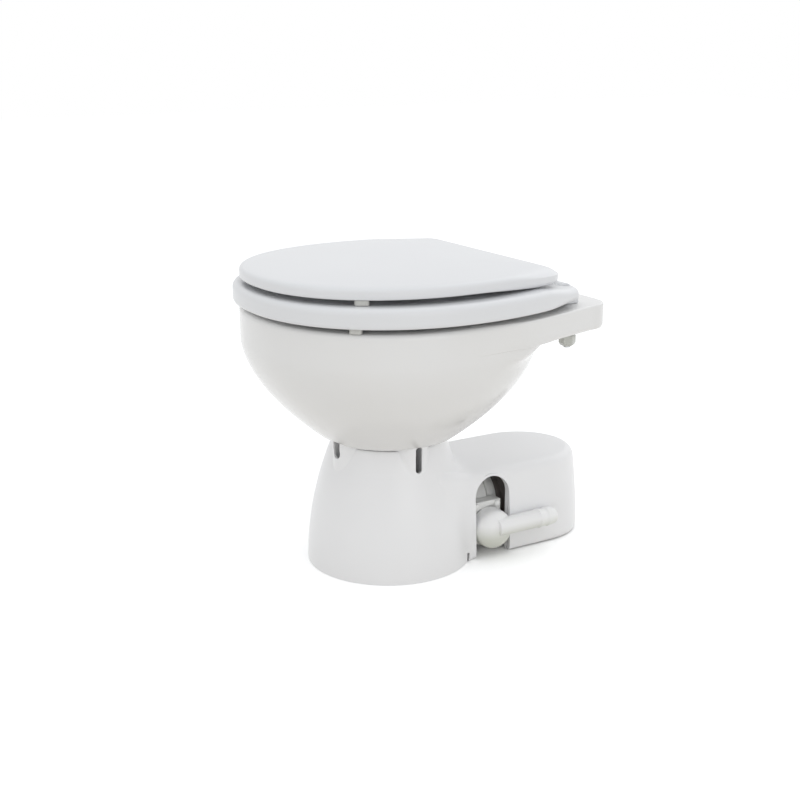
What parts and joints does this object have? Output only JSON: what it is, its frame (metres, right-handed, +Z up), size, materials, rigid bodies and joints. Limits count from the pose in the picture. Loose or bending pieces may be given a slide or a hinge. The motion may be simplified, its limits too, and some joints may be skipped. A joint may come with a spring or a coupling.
{
  "type": "electric marine toilet",
  "caption": "Compact electric boat toilet with a china bowl, a hinged white seat and lid, and a moulded pedestal whose rear housing covers a macerator pump with a barbed side outlet",
  "frame": {"origin": "on the floor, under the middle of the whole part in length and width", "axes": "+Z up; -Y is the front of the bowl and +Y the pump housing; +X is the side of the discharge elbow, the left of a person sitting on the toilet"},
  "size_m": [0.345, 0.417, 0.3532],
  "materials": {
    "china": "white vitreous glaze",
    "seat_resin": "smooth gloss white moulding",
    "base_moulding": "satin gloss white moulding",
    "white_plastic": "plain white moulding",
    "elbow_plastic": "satin off-white moulding",
    "black_paint": "satin black paint",
    "black_plastic": "moulded black",
    "rubber": "matt",
    "clear_rubber": "soft, pale and translucent",
    "magnet": "sintered ferrite",
    "steel": "plain stainless"
  },
  "bodies": {
    "fixed": {"bowl": "china", "hinge_post_right": "seat_resin", "hinge_pin_right": "steel", "hinge_stud_right": "steel", "hinge_washer_right": "white_plastic", "hinge_nut_right": "white_plastic", "hinge_post_left": "seat_resin", "hinge_pin_left": "steel", "hinge_stud_left": "steel", "hinge_washer_left": "white_plastic", "hinge_nut_left": "white_plastic", "pedestal": "base_moulding", "bowl_gasket": "rubber", "bowl_stud_front": "steel", "bowl_nut_front": "steel", "bowl_stud_left": "steel", "bowl_nut_left": "steel", "bowl_stud_rear": "steel", "bowl_nut_rear": "steel", "bowl_stud_right": "steel", "bowl_nut_right": "steel", "sump_neck": "white_plastic", "sump": "white_plastic", "outlet_seal": "rubber", "macerator_housing": "white_plastic", "pump_housing": "white_plastic", "shaft_seal": "rubber", "seal_housing": "white_plastic", "bearing_front": "steel", "motor_body": "black_paint", "motor_end_cap": "black_paint", "bearing_rear": "steel", "field_magnets": "magnet", "motor_saddle": "black_plastic", "motor_band": "steel", "cable_gland": "black_plastic", "elbow_collar": "white_plastic", "collar_screw_front": "steel", "collar_screw_rear": "steel", "elbow_oring": "rubber", "joker_valve": "rubber", "inlet_grommet": "rubber", "inlet_elbow": "white_plastic"},
    "seat": {"seat": "seat_resin", "seat_buffer_front_right": "clear_rubber", "seat_buffer_rear_right": "clear_rubber", "seat_buffer_front_left": "clear_rubber", "seat_buffer_rear_left": "clear_rubber", "lid_pin_right": "steel", "lid_pin_left": "steel"},
    "lid": {"lid": "seat_resin", "lid_buffer_right": "clear_rubber", "lid_buffer_left": "clear_rubber"},
    "rotor": {"motor_shaft": "steel", "armature": "steel", "macerator_blade": "steel", "impeller": "black_plastic"},
    "elbow": {"discharge_elbow": "elbow_plastic"}
  },
  "joints": [
    {"name": "seat_hinge", "type": "hinge", "parent": "fixed", "child": "seat", "pos_m": [0, 0.1199, 0.3169], "axis": [-1, 0, 0], "range_deg": [0, 95]},
    {"name": "lid_hinge", "type": "hinge", "parent": "seat", "child": "lid", "pos_m": [0, 0.0988, 0.337], "axis": [-1, 0, 0], "range_deg": [0, 87]},
    {"name": "rotor_spin", "type": "hinge", "parent": "fixed", "child": "rotor", "pos_m": [0, 0, 0.05], "axis": [0, 1, 0], "continuous": true},
    {"name": "discharge_swivel", "type": "hinge", "parent": "fixed", "child": "elbow", "pos_m": [0, 0.0615, 0.0335], "axis": [1, 0, 0], "range_deg": [0, 90]}
  ]
}
